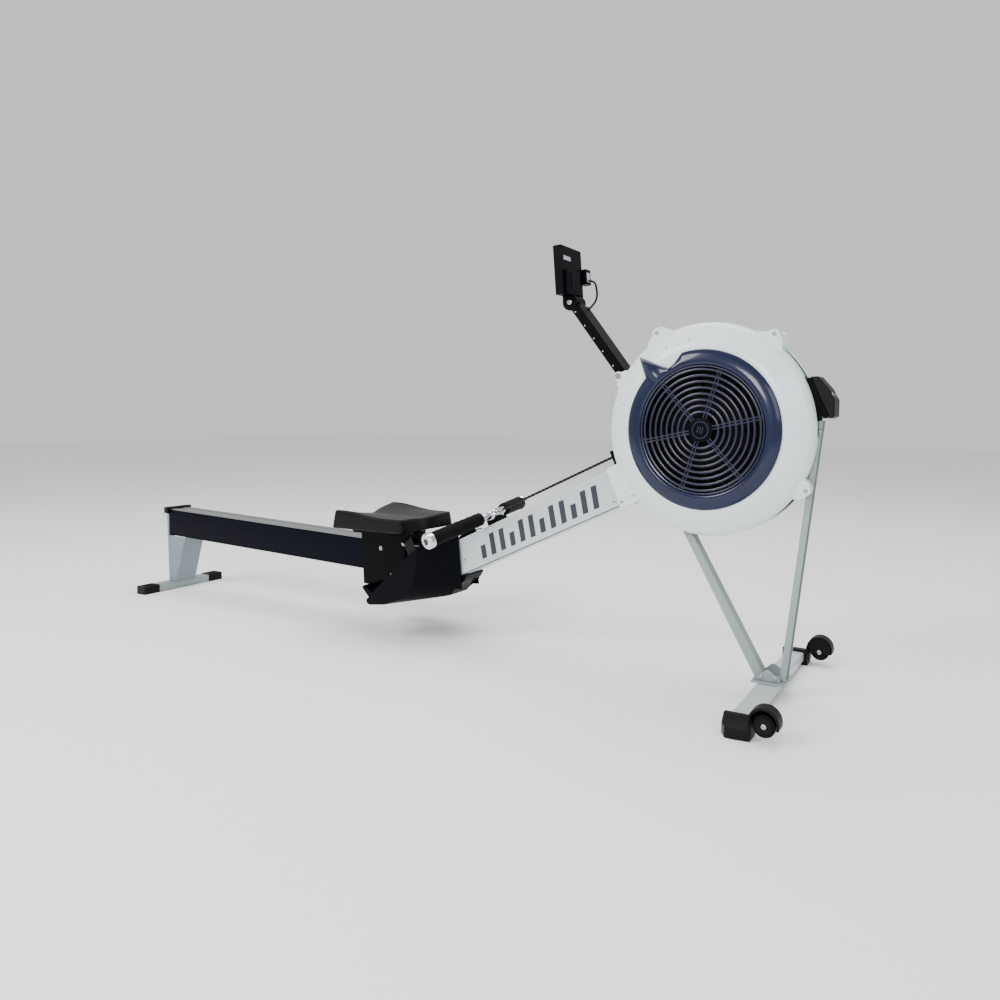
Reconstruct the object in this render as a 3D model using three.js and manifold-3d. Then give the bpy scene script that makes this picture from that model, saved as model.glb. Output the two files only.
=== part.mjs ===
// An air-resistance rowing machine, in millimetres, +Z up, +X towards the flywheel.
// Lengths along the machine are laid out from the middle of the rear foot, and the whole
// group is then shifted so that the origin lies under the middle of the machine.
import * as THREE from "three";
import { ConvexGeometry } from "three/addons/geometries/ConvexGeometry.js";
import { mergeVertices } from "three/addons/utils/BufferGeometryUtils.js";
import Module from "manifold-3d";

const wasm = await Module();
wasm.setup();

// ---- Driving dimensions ----------------------------------------------------------------
const ORIGIN_X = 1203.5; // half the overall length, measured from the rear end
const GAP = 0.4; // clearance left between touching pieces

const REAR_FOOT = { width: 322, capLength: 58, depth: 48, height: 29 };
const RAIL = { start: -6, startZ: 305, slope: 0.025, end: 1340, width: 79, height: 101 };
const SEAT = { rear: 946, front: 1220, halfWidth: 133, bottom: 319, top: 381 };
const ROLLER_RADIUS = 15;
const BEAM = { x: 1362, z: 304, angle: 25, length: 570, width: 80, depth: 103, wall: 2.5 };
const AXLE = { s: 841, h: -13.7 }; // flywheel axle, along and above the beam's top face
const CHAIN_H = 30.9; // chain's height above the beam's top face
const SPROCKET_RADIUS = 44.6;
const PLATE = { inner: 26, outer: 30, start: 470, end: 1106 };
const CAGE = { radius: 264, rim: 31, intake: 160, wall: 2.5 };
const DAMPER = { outer: 195, inner: 158 };
const FAN_RADIUS = 178;
const FRONT_FOOT = { x: 2290, width: 610, depth: 48, bottom: 10, top: 35 };
const CASTER = { x: 2352, y: 292, z: 38, radius: 25 };
const SOLE = { x: 1104, z: 117, angle: 42, length: 322, inner: 46, outer: 150 };
const CROSSBAR = { x: 1358, z: 222, radius: 9, half: 60 };
const ARM = { x: 1889, z: 782, angle: 127.95, length: 257, width: 58, under: 8, over: 18 };
const MONITOR = { back: 1729, thick: 24, width: 113, bottom: 1004, top: 1136, lean: 0.08 };

const SIDES = [
  ["right", -1],
  ["left", 1],
];
const rad = THREE.MathUtils.degToRad;

// ---- Finishes --------------------------------------------------------------------------
const finish = (color, roughness, metalness) =>
  new THREE.MeshStandardMaterial({ color, roughness, metalness });
const silverPaint = () => finish(0xcdd4d6, 0.35, 0.3);
const greyPaint = () => finish(0xaab6b6, 0.4, 0.2);
const darkSteel = () => finish(0x181c22, 0.45, 0.4);
const blackPlastic = () => finish(0x1b1b1d, 0.55, 0);
const rubber = () => finish(0x141414, 0.85, 0);
const steel = () => finish(0xb4b6b8, 0.3, 0.9);
const chrome = () => finish(0xe4e6e8, 0.12, 1);
const shellPlastic = () => finish(0xdee8e8, 0.4, 0);
const navyGloss = () => finish(0x232f55, 0.2, 0.1);

// ---- Shape helpers ---------------------------------------------------------------------
const shape = (points) => new THREE.Shape(points.map(([a, b]) => new THREE.Vector2(a, b)));

function circle(radius, sides, hole) {
  const ring = (r) =>
    Array.from({ length: sides }, (_, i) => {
      const t = (2 * Math.PI * i) / sides;
      return new THREE.Vector2(r * Math.cos(t), r * Math.sin(t));
    });
  const out = new THREE.Shape(ring(radius));
  if (hole) out.holes.push(new THREE.Path(ring(hole)));
  return out;
}

const box = (x0, x1, y0, y1, z0, z1) =>
  new THREE.BoxGeometry(x1 - x0, y1 - y0, z1 - z0).translate((x0 + x1) / 2, (y0 + y1) / 2, (z0 + z1) / 2);

const extrude = (outline, depth) =>
  new THREE.ExtrudeGeometry(outline, { depth, bevelEnabled: false, steps: 1, curveSegments: 12 });

// A profile drawn in X and Z, standing between two Y planes.
const slabY = (points, y0, y1) =>
  extrude(shape(points), y1 - y0).rotateX(Math.PI / 2).translate(0, y1, 0);

// A profile drawn in Y and Z, standing between two X planes.
const slabX = (points, x0, x1) =>
  extrude(shape(points), x1 - x0).rotateX(Math.PI / 2).rotateZ(Math.PI / 2).translate(x0, 0, 0);

const discY = (x, z, radius, y0, y1, sides = 24, hole = 0) =>
  extrude(circle(radius, sides, hole), y1 - y0).rotateX(Math.PI / 2).translate(x, y1, z);

// A round bar or tube that follows a curve.
function tube(points, radius, steps, sides, hole = 0) {
  const curve = new THREE.CatmullRomCurve3(points.map((p) => new THREE.Vector3(...p)));
  return new THREE.ExtrudeGeometry(circle(radius, sides, hole), { steps, extrudePath: curve });
}

// A ring or bowl turned about the Y axis, from points of radius and Y.
const turned = (points, sides) =>
  new THREE.LatheGeometry(points.map(([r, y]) => new THREE.Vector2(r, y)), sides);

function solid(geometry) {
  const bare = new THREE.BufferGeometry().setAttribute("position", geometry.getAttribute("position").clone());
  if (geometry.index) bare.setIndex(geometry.index.clone());
  const merged = mergeVertices(bare, 1e-3);
  const made = new wasm.Manifold(
    new wasm.Mesh({
      numProp: 3,
      vertProperties: merged.attributes.position.array,
      triVerts: new Uint32Array(merged.index.array),
    }),
  );
  if (made.volume() > 0) return made;
  const flipped = merged.index.array.slice();
  for (let i = 0; i < flipped.length; i += 3) {
    [flipped[i], flipped[i + 1]] = [flipped[i + 1], flipped[i]];
  }
  return new wasm.Manifold(
    new wasm.Mesh({
      numProp: 3,
      vertProperties: merged.attributes.position.array,
      triVerts: new Uint32Array(flipped),
    }),
  );
}

function geometryOf(made) {
  const mesh = made.getMesh();
  return new THREE.BufferGeometry()
    .setAttribute("position", new THREE.BufferAttribute(new Float32Array(mesh.vertProperties), 3))
    .setIndex(new THREE.BufferAttribute(new Uint32Array(mesh.triVerts), 1));
}

// Joins the first list of geometries, then cuts the second list away.
function shaped(joined, cuts = []) {
  let made = joined.map(solid).reduce((a, b) => a.add(b));
  for (const cut of cuts) made = made.subtract(solid(cut));
  return geometryOf(made);
}

// A straight hollow box tube along X, open at both ends.
const boxTube = (x0, x1, halfY, z0, z1, wall) =>
  shaped(
    [box(x0, x1, -halfY, halfY, z0, z1)],
    [box(x0 - 1, x1 + 1, -halfY + wall, halfY - wall, z0 + wall, z1 - wall)],
  );

// ---- Scene graph -----------------------------------------------------------------------
const machine = new THREE.Group();
machine.position.x = -ORIGIN_X;

function frameAt(x, z, angleDegrees) {
  const group = new THREE.Group();
  group.position.set(x, 0, z);
  group.rotation.y = -rad(angleDegrees);
  machine.add(group);
  return group;
}

function piece(name, geometry, material, parent = machine) {
  const mesh = new THREE.Mesh(geometry, material);
  mesh.name = name;
  parent.add(mesh);
}

const railFrame = frameAt(RAIL.start, RAIL.startZ, (-Math.atan(RAIL.slope) * 180) / Math.PI);
const beamFrame = frameAt(BEAM.x, BEAM.z, BEAM.angle);
const soleFrame = frameAt(SOLE.x, SOLE.z, SOLE.angle);
const armFrame = frameAt(ARM.x, ARM.z, ARM.angle);

// The flywheel's axle in the machine's own directions.
const axleX = BEAM.x + AXLE.s * Math.cos(rad(BEAM.angle)) - AXLE.h * Math.sin(rad(BEAM.angle));
const axleZ = BEAM.z + AXLE.s * Math.sin(rad(BEAM.angle)) + AXLE.h * Math.cos(rad(BEAM.angle));
const cageFrame = frameAt(axleX, axleZ, 0);

// ---- Rear foot and leg -----------------------------------------------------------------
function rearEnd() {
  const half = REAR_FOOT.width / 2;
  const barX = 22;
  const barTop = 27;
  piece("rear_foot_bar", box(-barX, barX, -half + 4, half - 4, 2, barTop), greyPaint());
  for (const [side, y] of SIDES) {
    const start = half - REAR_FOOT.capLength;
    const cap = box(-REAR_FOOT.depth / 2, REAR_FOOT.depth / 2, start, half, 0, REAR_FOOT.height);
    const bore = box(-barX - GAP, barX + GAP, start - 1, half - 3, 2 - GAP, barTop + GAP);
    piece("rear_foot_cap_" + side, shaped([cap], [bore]).rotateZ(y > 0 ? 0 : Math.PI), rubber());
  }
  // Folded sheet: two tapering sides, a sloping front and a flange up the end of the rail.
  const railUnder = RAIL.startZ - RAIL.height;
  const halfWidth = RAIL.width / 2;
  const sheet = 3;
  const railFace = RAIL.start - RAIL.height * RAIL.slope - GAP;
  const outline = [
    [-14, barTop + GAP],
    [28, barTop + GAP],
    [86, railUnder - 3],
    [railFace, railUnder - 1],
    [railFace, RAIL.startZ - 18],
    [-21, RAIL.startZ - 18],
  ];
  const inside = [
    [-30, barTop - 5],
    [28 - sheet, barTop - 5],
    [85.5 - sheet, railUnder + 5],
    [railFace - sheet, railUnder - 1 - sheet],
    [railFace - sheet, RAIL.startZ],
    [-30, RAIL.startZ],
  ];
  piece(
    "rear_leg",
    shaped([slabY(outline, -halfWidth, halfWidth)], [slabY(inside, -halfWidth + sheet, halfWidth - sheet)]),
    greyPaint(),
  );
  piece(
    "rail_end_stop",
    shaped(
      [box(-24, -1, -50, 50, RAIL.startZ - 17, RAIL.startZ + 6)],
      [
        box(
          RAIL.start - 2 * GAP, 5, -halfWidth - GAP, halfWidth + GAP, RAIL.startZ - 40, RAIL.startZ + GAP,
        ),
      ],
    ),
    rubber(),
  );
}

// ---- Monorail, in its own frame: x along the rail, z above its top face ----------------
function monorail() {
  const length = RAIL.end - RAIL.start;
  const half = RAIL.width / 2;
  piece("monorail", boxTube(0, length, half, -RAIL.height, -3 - GAP, 3), darkSteel(), railFrame);
  piece("rail_track", box(0.5, length - 30, -half, half, -3, 0), steel(), railFrame);
}

// ---- Seat, carriage and rollers --------------------------------------------------------
function seat() {
  const { rear, front, halfWidth, bottom, top } = SEAT;
  const length = front - rear;
  const corner = 34;
  const notch = 24;
  // Drawn from the rear corner on one side, round the front and back, with a tailbone notch.
  const outline = new THREE.Shape();
  outline.moveTo(0, 10 - halfWidth);
  outline.quadraticCurveTo(0, -halfWidth, 12, -halfWidth);
  outline.lineTo(length - corner, -halfWidth);
  outline.quadraticCurveTo(length, -halfWidth, length, corner - halfWidth);
  outline.quadraticCurveTo(length - 10, 0, length, halfWidth - corner);
  outline.quadraticCurveTo(length, halfWidth, length - corner, halfWidth);
  outline.lineTo(12, halfWidth);
  outline.quadraticCurveTo(0, halfWidth, 0, halfWidth - 10);
  outline.bezierCurveTo(4, 60, notch, 40, notch, 0);
  outline.bezierCurveTo(notch, -40, 4, -60, 0, 10 - halfWidth);
  const body = new THREE.ExtrudeGeometry(outline, { depth: top - bottom, bevelEnabled: false, curveSegments: 6 });
  body.translate(rear, 0, bottom);
  const saddle = 340;
  const dip = new THREE.CylinderGeometry(saddle, saddle, 2 * length, 96).rotateZ(Math.PI / 2);
  dip.rotateY(0.06).translate((rear + front) / 2, 0, top + saddle - 27);
  piece("seat_pad", shaped([body], [dip]), rubber());

  // The carriage hangs round the rail: a top plate and two side plates.
  const start = 985 - RAIL.start;
  const end = 1172 - RAIL.start;
  const seatPlate = 31;
  const plateIn = 43;
  const plateOut = 46;
  const side = [
    [start, seatPlate + 3],
    [start + 14, -RAIL.height - 44],
    [start + 72, -RAIL.height - 44],
    [start + 95, -RAIL.height - 30],
    [end - 16, -RAIL.height - 30],
    [end, seatPlate + 3],
  ];
  piece(
    "seat_carriage",
    shaped([
      slabY(side, -plateOut, -plateIn),
      slabY(side, plateIn, plateOut),
      box(start, end, -plateOut, plateOut, seatPlate, seatPlate + 3.5),
      box(start + 8, end - 8, -90, 90, seatPlate + 0.5, seatPlate + 3.5),
    ]),
    darkSteel(),
    railFrame,
  );
  // Two wheelsets roll on top of the rail and a plain roller runs under it.
  const stations = [
    ["rear", start + 30],
    ["front", end - 30],
  ];
  for (const [place, x] of stations) {
    const above = ROLLER_RADIUS + 0.3;
    piece(
      "seat_wheelset_" + place,
      shaped([
        discY(x, above, ROLLER_RADIUS, -36, -18, 24),
        discY(x, above, ROLLER_RADIUS, 18, 36, 24),
        discY(x, above, 4, -plateIn + GAP, plateIn - GAP, 12),
      ]),
      blackPlastic(),
      railFrame,
    );
  }
  const under = start + 40;
  const below = -RAIL.height - 12.5;
  piece(
    "seat_guide_roller",
    shaped([discY(under, below, 12, -34, 34, 20), discY(under, below, 3, -plateIn + GAP, plateIn - GAP, 12)]),
    blackPlastic(),
    railFrame,
  );
}

// ---- Main beam and the joint to the rail -----------------------------------------------
function mainBeam() {
  const { length, depth, wall, width } = BEAM;
  piece("main_beam", boxTube(0, length, width / 2, -depth, 0, wall), silverPaint(), beamFrame);
  // Two side plates and a floor carry the lower end of the beam and the front of the rail.
  const cheek = [
    [1286, 190],
    [1300, 166],
    [1340, 156],
    [1382, 160],
    [1380, 172],
    [1368, 318],
    [1352, 318],
    [1286, 262],
  ];
  const keel = [
    [1300, 166],
    [1296, 128],
    [1337, 136],
    [1360, 164],
    [1388, 184],
    [1401, 204],
    [1392, 206],
    [1347, 178],
    [1342, 166],
  ];
  const inner = width / 2 + GAP;
  piece(
    "frame_joint_bracket",
    shaped(
      [
        slabY(cheek, -inner - 4, -inner),
        slabY(cheek, inner, inner + 4),
        slabY(keel, -inner - 2, inner + 2),
      ],
      [discY(CROSSBAR.x, CROSSBAR.z, CROSSBAR.radius + GAP, -60, 60, 20)],
    ),
    darkSteel(),
  );
  // A cradle on the beam for the parked handle.
  piece(
    "handle_rest",
    shaped([box(112, 153, -24, 24, GAP, 17)], [discY(132.5, 28.7, 17.5, -30, 30, 24)]),
    blackPlastic(),
    beamFrame,
  );
}

// ---- Footrests: each has a wedge moulding, a sliding heel cup and a strap --------------
function footrests() {
  const rise = (a) => [SOLE.x + a * Math.cos(rad(SOLE.angle)), SOLE.z + a * Math.sin(rad(SOLE.angle))];
  // The wedge is the hull of its deep inner face and its shorter outer face.
  const innerFace = [
    [SOLE.x + 10, SOLE.z - 14],
    [1165, 106],
    [1329, 134],
    [1341, 147],
    [1380, 174],
    [1384, 190],
    [1370, 322],
    [1358, 335],
    rise(SOLE.length),
    rise(0),
  ];
  const outerFace = [
    [SOLE.x + 2, SOLE.z - 8],
    [SOLE.x + 12, SOLE.z - 14],
    [1172, 110],
    [1240, 134],
    [1284, 186],
    [1296, 240],
    rise(264),
    rise(0),
  ];
  const hull = (y) =>
    new ConvexGeometry([
      ...innerFace.map(([x, z]) => new THREE.Vector3(x, y * SOLE.inner, z)),
      ...outerFace.map(([x, z]) => new THREE.Vector3(x, y * SOLE.outer, z)),
    ]);
  const hollow = [
    [1142, SOLE.z - 2],
    [1170, 114],
    [1288, 140],
    [1332, 168],
    [1348, 196],
    [1338, 306],
  ];
  piece(
    "footrest_crossbar",
    discY(CROSSBAR.x, CROSSBAR.z, CROSSBAR.radius, -CROSSBAR.half, CROSSBAR.half, 20),
    steel(),
  );
  for (const [side, y] of SIDES) {
    const span = (a, b) => [Math.min(y * a, y * b), Math.max(y * a, y * b)];
    const barHole = discY(
      CROSSBAR.x, CROSSBAR.z, CROSSBAR.radius + GAP, ...span(SOLE.inner - 5, CROSSBAR.half + GAP), 20,
    );
    piece(
      "footplate_" + side,
      shaped(
        [hull(y)],
        [slabY(hollow, ...span(SOLE.inner - 5, 70)), barHole],
      ),
      blackPlastic(),
    );
    const cup = [
      [6, GAP],
      [120, GAP],
      [120, 5],
      [26, 5],
      [14, 42],
      [4, 42],
    ];
    piece("heel_cup_" + side, slabY(cup, ...span(SOLE.inner + 8, SOLE.outer - 8)), blackPlastic(), soleFrame);
    const middle = (SOLE.inner + SOLE.outer) / 2;
    const arch = (radiusY, height) =>
      Array.from({ length: 17 }, (_, i) => {
        const t = (Math.PI * i) / 16;
        return [y * middle + radiusY * Math.cos(t), GAP + height * Math.sin(t)];
      });
    piece(
      "foot_strap_" + side,
      slabX([...arch(49, 62), ...arch(46, 59).reverse()], 222, 258),
      rubber(),
      soleFrame,
    );
  }
}

// ---- Front foot, struts and transport wheels -------------------------------------------
function frontEnd() {
  const { x, width, depth, bottom, top } = FRONT_FOOT;
  const halfBar = width / 2 - 26;
  piece("front_foot_bar", box(x - depth / 2, x + depth / 2, -halfBar, halfBar, bottom, top), silverPaint());
  for (const [side, y] of SIDES) {
    const capStart = width / 2 - 48;
    const capEnd = width / 2;
    const capOutline = [
      [x - 34, capStart],
      [x + 34, capStart],
      [x + 34, capEnd - 4],
      [x + 4, capEnd],
      [x - 22, capEnd],
      [x - 34, capEnd - 26],
    ];
    const block = extrude(shape(capOutline), 42);
    const slopeOff = slabX([[capEnd - 35, 43], [capEnd + 1, 26], [capEnd + 1, 43]], x - 40, x + 40);
    const bore = box(
      x - depth / 2 - GAP, x + depth / 2 + GAP, capStart - 5, halfBar + GAP, bottom - GAP, top + GAP,
    );
    // The mudguard: a round cover over the wheel with a slot that the wheel turns in.
    const guard = discY(CASTER.x, CASTER.z + 7, 32, CASTER.y - 21, CASTER.y + 13, 32);
    const underside = box(
      CASTER.x - 50, CASTER.x + 50, CASTER.y - 30, CASTER.y + 20, -10, CASTER.z - 17,
    );
    const wheelSlot = discY(CASTER.x, CASTER.z, CASTER.radius + 3, CASTER.y - 14, CASTER.y + 6, 32);
    const wayDown = box(
      CASTER.x - CASTER.radius - 3, CASTER.x + CASTER.radius + 3, CASTER.y - 14, CASTER.y + 6, -10, CASTER.z,
    );
    const cap = shaped([
      shaped([block, guard], [bore, slopeOff, underside, wheelSlot, wayDown]),
      discY(CASTER.x, CASTER.z, 4, CASTER.y - 20, CASTER.y + 14, 12),
    ]);
    const wheel = discY(CASTER.x, CASTER.z, CASTER.radius, CASTER.y - 13, CASTER.y + 5, 28, 4 + GAP);
    const mirror = new THREE.Matrix4().makeScale(1, y, 1);
    const mirrored = (g) => geometryOf(solid(shaped([g]).applyMatrix4(mirror)));
    piece("front_foot_cap_" + side, mirrored(cap), rubber());
    piece("caster_wheel_" + side, mirrored(wheel), blackPlastic());
  }
  // Folded base plate under both struts.
  piece(
    "strut_base_plate",
    box(2252, 2332, -44, 44, top + GAP, top + 5),
    greyPaint(),
  );
  const foot = top + 5 + GAP;
  const halfStrut = 15;
  const sheet = 2.5;
  const channel = (outline, inside) =>
    shaped(
      [slabY(outline, -halfStrut, halfStrut)],
      [slabY(inside, -halfStrut + sheet, halfStrut - sheet)],
    );
  const rear = [
    [2254, foot],
    [2276, foot],
    [2272, foot + 18],
    [2007, 520],
    [1987, 520],
  ];
  piece(
    "rear_strut",
    channel(rear, [
      [2240, foot + 4],
      [2268, foot + 4],
      [2266, foot + 17],
      [2001, 522],
      [1975, 522],
    ]),
    greyPaint(),
  );
  const front = [
    [2314, foot],
    [2330, foot],
    [2403, 672],
    [2388, 672],
  ];
  piece(
    "front_strut",
    channel(front, [
      [2317.5, foot + 3],
      [2340, foot + 3],
      [2413, 676],
      [2391.5, 676],
    ]),
    greyPaint(),
  );
}

// ---- Axle plates, bumper and drive, in the beam's frame --------------------------------
function axlePlates() {
  const bearingHole = 19 + GAP;
  for (const [side, y] of SIDES) {
    const span = (a, b) => [Math.min(y * a, y * b), Math.max(y * a, y * b)];
    const outline = [
      [PLATE.start, -98],
      [640, -98],
      [652, -130],
      [690, -130],
      [706, -98],
      [PLATE.end, -98],
      [PLATE.end, -6],
      [PLATE.start, -6],
    ];
    piece(
      "axle_plate_" + side,
      shaped(
        [slabY(outline, ...span(PLATE.inner, PLATE.outer))],
        [discY(AXLE.s, AXLE.h, bearingHole, ...span(PLATE.inner - 2, PLATE.outer + 2), 24)],
      ),
      darkSteel(),
      beamFrame,
    );
    piece(
      "axle_bearing_" + side,
      discY(AXLE.s, AXLE.h, 19, ...span(PLATE.inner, PLATE.outer), 24, 8 + GAP),
      steel(),
      beamFrame,
    );
  }
  piece(
    "bumper_bracket",
    shaped([
      box(PLATE.end + GAP, 1117, -32, 32, -104, -3),
      box(1092, 1112, -24, 24, -96, -64),
    ]),
    silverPaint(),
    beamFrame,
  );
  const block = [
    [1117 + GAP, -1],
    [1133, -8],
    [1144, -46],
    [1145, -74],
    [1128.5, -109],
    [1117 + GAP, -109],
  ];
  piece("front_bumper", slabY(block, -33, 33), rubber(), beamFrame);
}

function driveTrain() {
  // The axle turns with the fan: it runs through both bearings and the sprocket.
  piece("flywheel_axle", discY(AXLE.s, AXLE.h, 8, -70, 33, 20), steel(), beamFrame);
  const blades = 18;
  const parts = [
    discY(0, 0, FAN_RADIUS, -43, -40.5, 48, 30),
    discY(0, 0, 34, -70, -40.5, 32, 8 + GAP),
  ];
  for (let i = 0; i < blades; i++) {
    const upright = box(96, FAN_RADIUS - 1, -68, -42, -1.5, 1.5);
    upright.rotateY(((2 * Math.PI) / blades) * i);
    parts.push(upright);
  }
  piece("flywheel", shaped(parts), darkSteel(), cageFrame);
  const teeth = 22;
  const gear = Array.from({ length: 4 * teeth }, (_, i) => {
    const t = (2 * Math.PI * (i + 0.5)) / (4 * teeth);
    const r = SPROCKET_RADIUS - (i % 4 < 2 ? 3.6 : 8);
    return [AXLE.s + r * Math.cos(t), AXLE.h + r * Math.sin(t)];
  });
  piece(
    "chain_sprocket",
    shaped(
      [slabY(gear, -1.3, 1.3), discY(AXLE.s, AXLE.h, 22, -9, 9, 24)],
      [discY(AXLE.s, AXLE.h, 8 + GAP, -12, 12, 20)],
    ),
    steel(),
    beamFrame,
  );
  // The chain's pulled run, then its turn round the sprocket and the run back to the cord.
  piece("drive_chain", box(162, AXLE.s - 4, -3.6, 3.6, CHAIN_H - 3, CHAIN_H + 3), darkSteel(), beamFrame);
  const wrap = [];
  const wrapSteps = 14;
  for (let i = 0; i <= wrapSteps; i++) {
    const t = Math.PI / 2 - (Math.PI * i) / wrapSteps;
    wrap.push([AXLE.s + (SPROCKET_RADIUS + 3) * Math.cos(t), AXLE.h + (SPROCKET_RADIUS + 3) * Math.sin(t)]);
  }
  const back = AXLE.h - SPROCKET_RADIUS;
  wrap.push([560, back - 3], [560, back + 3]);
  for (let i = wrapSteps; i >= 0; i--) {
    const t = Math.PI / 2 - (Math.PI * i) / wrapSteps;
    wrap.push([AXLE.s + (SPROCKET_RADIUS - 3) * Math.cos(t), AXLE.h + (SPROCKET_RADIUS - 3) * Math.sin(t)]);
  }
  piece("chain_return_run", slabY(wrap, -3.6, 3.6), darkSteel(), beamFrame);
  // The elastic cord runs back inside the beam, round a pulley and up to its anchor.
  const pulley = { s: 70, radius: 15 };
  const run = 21;
  pulley.h = back + run;
  piece(
    "cord_pulley",
    shaped([
      discY(pulley.s, pulley.h, pulley.radius, -6, 6, 24),
      discY(pulley.s, pulley.h, 4, -37, 37, 12),
    ]),
    blackPlastic(),
    beamFrame,
  );
  const turn = Array.from({ length: 9 }, (_, i) => {
    const t = -Math.PI / 2 - (Math.PI * i) / 8;
    return [pulley.s + run * Math.cos(t), 0, pulley.h + run * Math.sin(t)];
  });
  const outward = [558, 400, 200].map((s) => [s, 0, back]);
  const homeward = [200, 440].map((s) => [s, 0, pulley.h + run]);
  const path = [...outward, ...turn, ...homeward];
  piece("shock_cord", tube(path, 3.5, 40, 6), rubber(), beamFrame);
}

// ---- Flywheel cage: two shells, a screen, the intake grille and the damper -------------
function cage() {
  const { radius, rim, intake, wall } = CAGE;
  const armAngle = (Math.atan2(ARM.z - axleZ, ARM.x - axleX) * 180) / Math.PI;
  const lugs = [
    { angle: 54.5, r: 281, boss: true },
    { angle: 119, r: 284, boss: true },
    { angle: armAngle, r: Math.hypot(ARM.x - axleX, ARM.z - axleZ), boss: false },
    { angle: -29.4, r: 279, boss: false },
  ];
  const lugSolids = (y) => {
    const span = (a, b) => [Math.min(y * a, y * b), Math.max(y * a, y * b)];
    return lugs.flatMap(({ angle, r, boss }) => {
      const c = Math.cos(rad(angle));
      const s = Math.sin(rad(angle));
      const foot = [18, -18].map((w) => [258 * c - w * s, 258 * s + w * c]);
      const head = [-11, 11].map((w) => [r * c - w * s, r * s + w * c]);
      const ear = [slabY([...foot, ...head], ...span(rim, 48)), discY(r * c, r * s, 12, ...span(rim, 48), 20)];
      if (boss) ear.push(discY(r * c, r * s, 8, ...span(GAP, rim + 1), 16));
      return ear;
    });
  };
  // The fairing hugs the end of the beam.
  const fairing = (y) => {
    const plate = box(546 - AXLE.s, 612 - AXLE.s, 0, 10, -107 - AXLE.h, 3 - AXLE.h);
    plate.translate(0, 40 + GAP, 0);
    if (y < 0) plate.translate(0, -(80 + 2 * GAP + 10), 0);
    return plate.rotateY(-rad(BEAM.angle));
  };
  const boltHole = (y) => {
    const { angle, r } = lugs[2];
    const reach = y < 0 ? [-60, 0] : [0, 60];
    return discY(r * Math.cos(rad(angle)), r * Math.sin(rad(angle)), 4 + GAP, ...reach, 12);
  };
  const right = [
    [intake, -79],
    [200, -79],
    [232, -66],
    [250, -57],
    [260, -48],
    [radius, -36],
    [radius, -rim],
    [radius - wall, -rim],
    [radius - wall, -36],
    [258, -46.5],
    [248.6, -54.8],
    [231, -63.5],
    [199.5, -76.3],
    [intake, -76.3],
    [intake, -79],
  ];
  const shell = (profile, y) => shaped([turned(profile, 48), ...lugSolids(y), fairing(y)], [boltHole(y)]);
  piece("cage_shell_right", shell(right, -1), shellPlastic(), cageFrame);
  const left = [
    [0, 74],
    [60, 74],
    [64, 70],
    [232, 68],
    [250, 64],
    [260, 56],
    [radius, 46],
    [radius, rim],
    [radius - wall, rim],
    [radius - wall, 45],
    [258, 54.5],
    [249, 61.5],
    [231.5, 65.3],
    [62, 67.3],
    [58, 71],
    [0, 71],
  ];
  piece("cage_shell_left", shell(left, 1), shellPlastic(), cageFrame);

  // The screen closes the gap between the shells, with openings for what passes through it.
  const screen = turned([[254, -38], [255.5, -38], [255.5, 38], [254, 38], [254, -38]], 48);
  const inBeam = (g) => g.translate(-AXLE.s, 0, -AXLE.h).rotateY(-rad(BEAM.angle));
  const rearWay = box(2020 - axleX, 2090 - axleX, -24, 24, 370 - axleZ, 440 - axleZ);
  const frontWay = box(2360 - axleX, 2400 - axleX, -24, 24, 550 - axleZ, 690 - axleZ);
  piece(
    "cage_screen",
    shaped(
      [screen],
      [
        inBeam(box(560, 625, -31, 31, -106, 44)),
        inBeam(box(1060, 1110, -31, 31, -106, 4)),
        rearWay,
        frontWay,
      ],
    ),
    darkSteel(),
    cageFrame,
  );

  // Eight rings and six spokes round a hub disc.
  const ringParts = [discY(0, 0, 30, -90, -85.5, 32)];
  for (let i = 0; i < 8; i++) {
    const r = 44 + i * 14.7;
    ringParts.push(discY(0, 0, r + 1.5, -88.5, -85.5, 28, r - 1.5));
  }
  ringParts.push(discY(0, 0, 157, -88.5, -80.5, 40, 153.5));
  for (let i = 0; i < 6; i++) {
    ringParts.push(box(26, 155, -89, -85, -3, 3).rotateY(-rad(12 + 60 * i)));
  }
  piece("fan_grille", shaped(ringParts), navyGloss(), cageFrame);

  // The damper ring is a shallow cone with one pointed lever.
  const cone = turned(
    [
      [DAMPER.inner, -90],
      [DAMPER.inner + 8, -92],
      [DAMPER.outer, -84],
      [DAMPER.outer, -80],
      [DAMPER.inner, -80],
      [DAMPER.inner, -90],
    ],
    48,
  );
  const pointer = slabY(
    [
      [DAMPER.inner + 6, -14],
      [DAMPER.outer - 6, -24],
      [240, -4],
      [244, 0],
      [240, 4],
      [DAMPER.outer - 6, 14],
      [DAMPER.inner + 6, 10],
    ],
    -91,
    -80,
  );
  piece("damper_ring", shaped([cone, pointer.rotateY(-rad(132.5))]), navyGloss(), cageFrame);

  // The rubber-lipped inlet that the chain runs through.
  piece(
    "chain_guide",
    shaped([box(560, 584, -16, 16, GAP, 46)], [box(550, 590, -7, 7, 18, 42)]),
    blackPlastic(),
    beamFrame,
  );
}

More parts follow.
